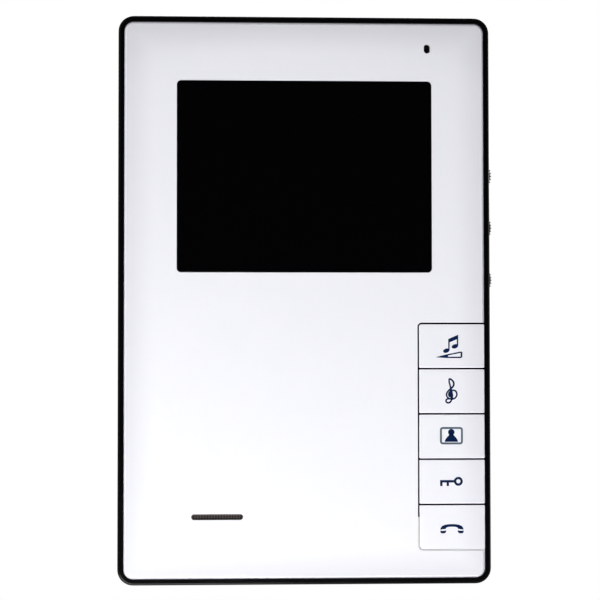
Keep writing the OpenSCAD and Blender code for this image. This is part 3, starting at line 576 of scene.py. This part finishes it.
def ink_disc(x, z, width, height, tilt=0):
    """A filled ellipse of ink."""
    clear()
    bpy.ops.mesh.primitive_cylinder_add(vertices=32, radius=0.5, depth=1)
    disc = bpy.context.object
    disc.scale = (width * MM, height * MM, INK)
    settle(disc)
    disc.rotation_euler.z = math.radians(tilt)
    disc.location = (x * MM, z * MM, 0)
    settle(disc)
    return disc


def print_sign(name, key, marks, material):
    """Joins marks into one sign, stands it up and lays it on its key's face."""
    low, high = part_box("key_cap_" + key)
    clear()
    for mark in marks:
        mark.select_set(True)
    sign = marks[0]
    bpy.context.view_layer.objects.active = sign
    if len(marks) > 1:
        bpy.ops.object.join()
    sign.name = sign.data.name = name
    sign.rotation_euler.x = math.radians(90)
    sign.location = ((low.x + high.x) / 2, front + INK / 2, (low.z + high.z) / 2)
    settle(sign)
    wear(sign, material, key + "_key", "key_white")


# Two beamed notes above a rising volume wedge.
print_sign("sign_notes_and_wedge", "volume", [
    ink_disc(-1.78, -1.50, 2.15, 1.35, 18),
    ink_disc(1.02, -0.10, 2.15, 1.35, 18),
    ink_line([(-0.92, -1.25), (-0.92, 2.1)], 0.46, smooth=False),
    ink_line([(1.86, 0.1), (1.86, 3.4)], 0.46, smooth=False),
    ink_shape([(-1.14, 2.25), (2.08, 3.65), (2.08, 2.35), (-1.14, 1.0)]),
    ink_line([(-5.0, -3.60, 0.3), (-1.6, -3.66, 1.0), (3.1, -3.68, 1.0)], 0.46, smooth=False),
    ink_line([(-5.0, -3.60, 0.3), (-1.6, -2.90, 1.0), (3.2, -1.95, 1.0)], 0.44, smooth=False),
    ink_line([(3.18, -1.95), (3.10, -3.66)], 0.56, smooth=False),
    ink_shape([(-5.0, -3.60), (-1.0, -2.75), (-1.4, -3.76)]),
], NAVY_INK)

# A treble clef.
print_sign("sign_treble_clef", "melody", [
    ink_line([(-0.42, 0.80), (-1.25, 0.00), (-1.75, -1.05), (-1.42, -2.02), (-0.45, -2.50),
              (0.60, -2.42), (1.42, -1.68), (1.54, -0.60), (0.98, 0.17), (0.12, 0.24),
              (-0.72, -0.28), (-1.02, -1.14), (-0.70, -1.90)], 0.54),
    ink_line([(-0.42, 0.80), (0.22, 1.34), (0.62, 2.24), (0.36, 3.20), (-0.18, 3.72),
              (-0.86, 4.05)], 0.56),
    ink_line([(-0.90, 4.10, 0.8), (-0.88, 3.10, 1.0), (-0.54, 1.67, 1.0), (-0.36, 0.72, 1.3),
              (-0.28, -0.42, 2.0), (-0.18, -1.40, 2.3), (-0.06, -2.20, 1.5), (-0.16, -2.80, 1.0),
              (-0.62, -3.54, 1.0), (-1.24, -3.75, 1.0), (-1.86, -3.42, 1.0), (-1.86, -2.82, 1.0),
              (-1.34, -2.48, 1.0), (-0.46, -2.46, 1.0)], 0.54),
    ink_disc(-0.22, -1.10, 0.92, 2.60, 4),
], NAVY_INK)

# A head and shoulders in a rounded frame.
print_sign("sign_person", "view", [
    ink_disc(-0.26, 1.36, 2.10, 2.10),
    ink_shape([(-0.86, 0.80), (0.34, 0.80), (0.56, 0.35), (1.16, -0.25), (1.66, -0.95),
               (1.90, -1.50), (1.86, -1.74), (-2.36, -1.74), (-2.40, -1.50), (-2.16, -0.95),
               (-1.68, -0.25), (-1.08, 0.35)]),
], NAVY_INK)
FRAME_CORNERS = [(3.18, 2.72, 0), (-3.62, 2.72, 90), (-3.62, -2.24, 180), (3.18, -2.24, 270)]
FRAME_RADIUS = 0.6
print_sign("sign_person_frame", "view", [
    ink_line([(x - math.copysign(FRAME_RADIUS, x)
               + FRAME_RADIUS * math.cos(math.radians(start + turn)),
               z - math.copysign(FRAME_RADIUS, z)
               + FRAME_RADIUS * math.sin(math.radians(start + turn)))
              for x, z, start in FRAME_CORNERS for turn in range(0, 91, 15)],
             0.64, closed=True, smooth=False),
], SLATE_INK)

# A door key: its bow is a ring, and its shank and bits are one patch.
BOW_X, BOW_Z, BOW_RADIUS = 1.97, 0.14, 1.06
print_sign("sign_door_key", "unlock", [
    ink_line([(BOW_X + BOW_RADIUS * math.cos(turn * math.pi / 8),
               BOW_Z + BOW_RADIUS * math.sin(turn * math.pi / 8))
              for turn in range(16)], 0.78, closed=True),
    ink_shape([(-3.96, 0.56), (1.00, 0.56), (1.00, -0.24), (-1.08, -0.24), (-1.08, -1.36),
               (-1.84, -1.36), (-1.84, -0.24), (-3.16, -0.24), (-3.16, -1.36), (-3.96, -1.36)]),
], NAVY_INK)

# A telephone handset.
print_sign("sign_handset", "talk", [
    ink_shape([(-3.90, -0.80), (-3.86, -0.30), (-3.40, 0.36), (-2.50, 0.76), (-1.40, 0.94),
               (-0.17, 0.99), (1.06, 0.94), (2.16, 0.76), (3.06, 0.36), (3.52, -0.30),
               (3.56, -0.80), (1.88, -0.56), (1.50, -0.06), (0.90, 0.10), (-0.17, 0.14),
               (-1.24, 0.10), (-1.84, -0.06), (-2.22, -0.56)]),
    ink_shape([(-3.96, -1.10), (-3.94, -1.60), (-3.60, -1.98), (-2.60, -1.98), (-2.14, -1.66),
               (-2.00, -1.02), (-2.60, -1.12), (-3.30, -1.16)]),
    ink_shape([(3.62, -1.10), (3.60, -1.60), (3.26, -1.98), (2.26, -1.98), (1.80, -1.66),
               (1.66, -1.02), (2.26, -1.12), (2.96, -1.16)]),
], NAVY_INK)


# ------------------------------------------------------------ light and stage

def hang_lamp(name, kind, place, aim, power):
    """Adds a white lamp at a place, turned to look at its aim."""
    light = bpy.data.lights.new(name, kind)
    light.energy = power
    lamp = bpy.data.objects.new(name, light)
    bpy.context.scene.collection.objects.link(lamp)
    lamp.location = place
    lamp.rotation_euler = (Vector(aim) - Vector(place)).to_track_quat("-Z", "Y").to_euler()
    return light


def softbox(name, place, aim, size, power):
    """A lamp with a flat rectangular face, which gives soft shadows."""
    light = hang_lamp(name, "AREA", place, aim, power)
    light.shape = "RECTANGLE"
    light.size, light.size_y = size


def matt_studio_board(name):
    # Matt white studio board, a shade off the backdrop. What the camera sees of it is lifted,
    # so that it stays pale without throwing light up at the object.
    material, tree, shader, place = new_material(
        name, roughness=0.9, emission_color=linear("#FFFFFF"))
    grain = add(tree, "TexNoise", {"Vector": place, "Scale": per_metre(40), "Detail": 3.0})
    tint = add(tree, "Mix", {"Factor": grain.outputs["Fac"], "A": linear("#E6E6E6"),
                             "B": linear("#EBEBEB")}, data_type="RGBA")
    seen = add(tree, "LightPath").outputs["Is Camera Ray"]
    lift = add(tree, "Math", {0: seen, 1: 0.55}, operation="MULTIPLY")
    tree.links.new(tint.outputs[2], shader.inputs["Base Color"])
    tree.links.new(lift.outputs["Value"], shader.inputs["Emission Strength"])
    return material


clear()
bpy.ops.mesh.primitive_plane_add(size=6, location=(0, 0, -0.6))
floor = bpy.context.object
floor.name = "studio_floor"
floor.data.materials.append(matt_studio_board("matt_studio_board"))

# A white backdrop. It gives a little light from all round, and none from straight ahead, where
# the dark end of the studio is what the glossy black window and rim reflect.
world = bpy.data.worlds.new("studio")
bpy.context.scene.world = world
world.use_nodes = True
sky = world.node_tree
sky.nodes.clear()
seen = add(sky, "LightPath")
direction = add(sky, "TexCoord").outputs["Generated"]
ahead = add(sky, "VectorMath", {0: direction, 1: (0.0, -1.0, 0.0)}, operation="DOT_PRODUCT")
dim = add(sky, "MapRange", {"Value": ahead.outputs["Value"], "From Min": 0.80,
                            "From Max": 0.96, "To Min": 0.35, "To Max": 0.0})
backdrop = add(sky, "Background", {"Color": linear("#FFFFFF"), "Strength": 1.0})
ambient = add(sky, "Background", {"Color": linear("#F4F4FA"),
                                  "Strength": dim.outputs["Result"]})
either = add(sky, "MixShader", {0: seen.outputs["Is Camera Ray"], 1: ambient.outputs["Background"],
                                2: backdrop.outputs["Background"]})
add(sky, "OutputWorld", {"Surface": either.outputs["Shader"]})

# The front softboxes light the white face, brightest low down. Those at the back and the rear
# light the casing's back and side walls. The snoot's beam is centred below the middle of the face
# and ends near its top edge, which darkens there.
softbox("low_front_softbox", (-0.17, -0.44, -0.34), (-0.02, 0, -0.06), (0.36, 0.22), 2.7)
softbox("left_softbox", (-0.75, -0.65, 0.25), (0, 0, 0), (0.5, 0.9), 1.0)
softbox("right_softbox", (0.85, -0.06, 0.1), (0, 0, 0), (0.5, 0.9), 2.8)
softbox("top_softbox", (0, -0.45, 0.85), (0, 0, 0), (0.9, 0.5), 1.2)
softbox("back_softbox", (0.3, 1.0, 0.5), (0, 0, 0), (1.2, 0.8), 11.0)
softbox("left_rear_softbox", (-1.0, 0.40, 0.15), (0, 0.1, 0), (0.6, 0.9), 4.5)
softbox("right_rear_softbox", (1.0, 0.40, 0.15), (0, 0.1, 0), (0.6, 0.9), 4.5)
snoot = hang_lamp("snoot", "SPOT", (0, -1.2, -0.45), (0, 0, -0.1), 5.0)
snoot.spot_size = math.radians(16.9)
snoot.spot_blend = 0.12
snoot.shadow_soft_size = 0.004

bpy.context.scene.view_settings.view_transform = "Standard"
bpy.context.scene.view_settings.look = "None"
bpy.context.scene.view_settings.exposure = 0
bpy.context.scene.view_settings.gamma = 1
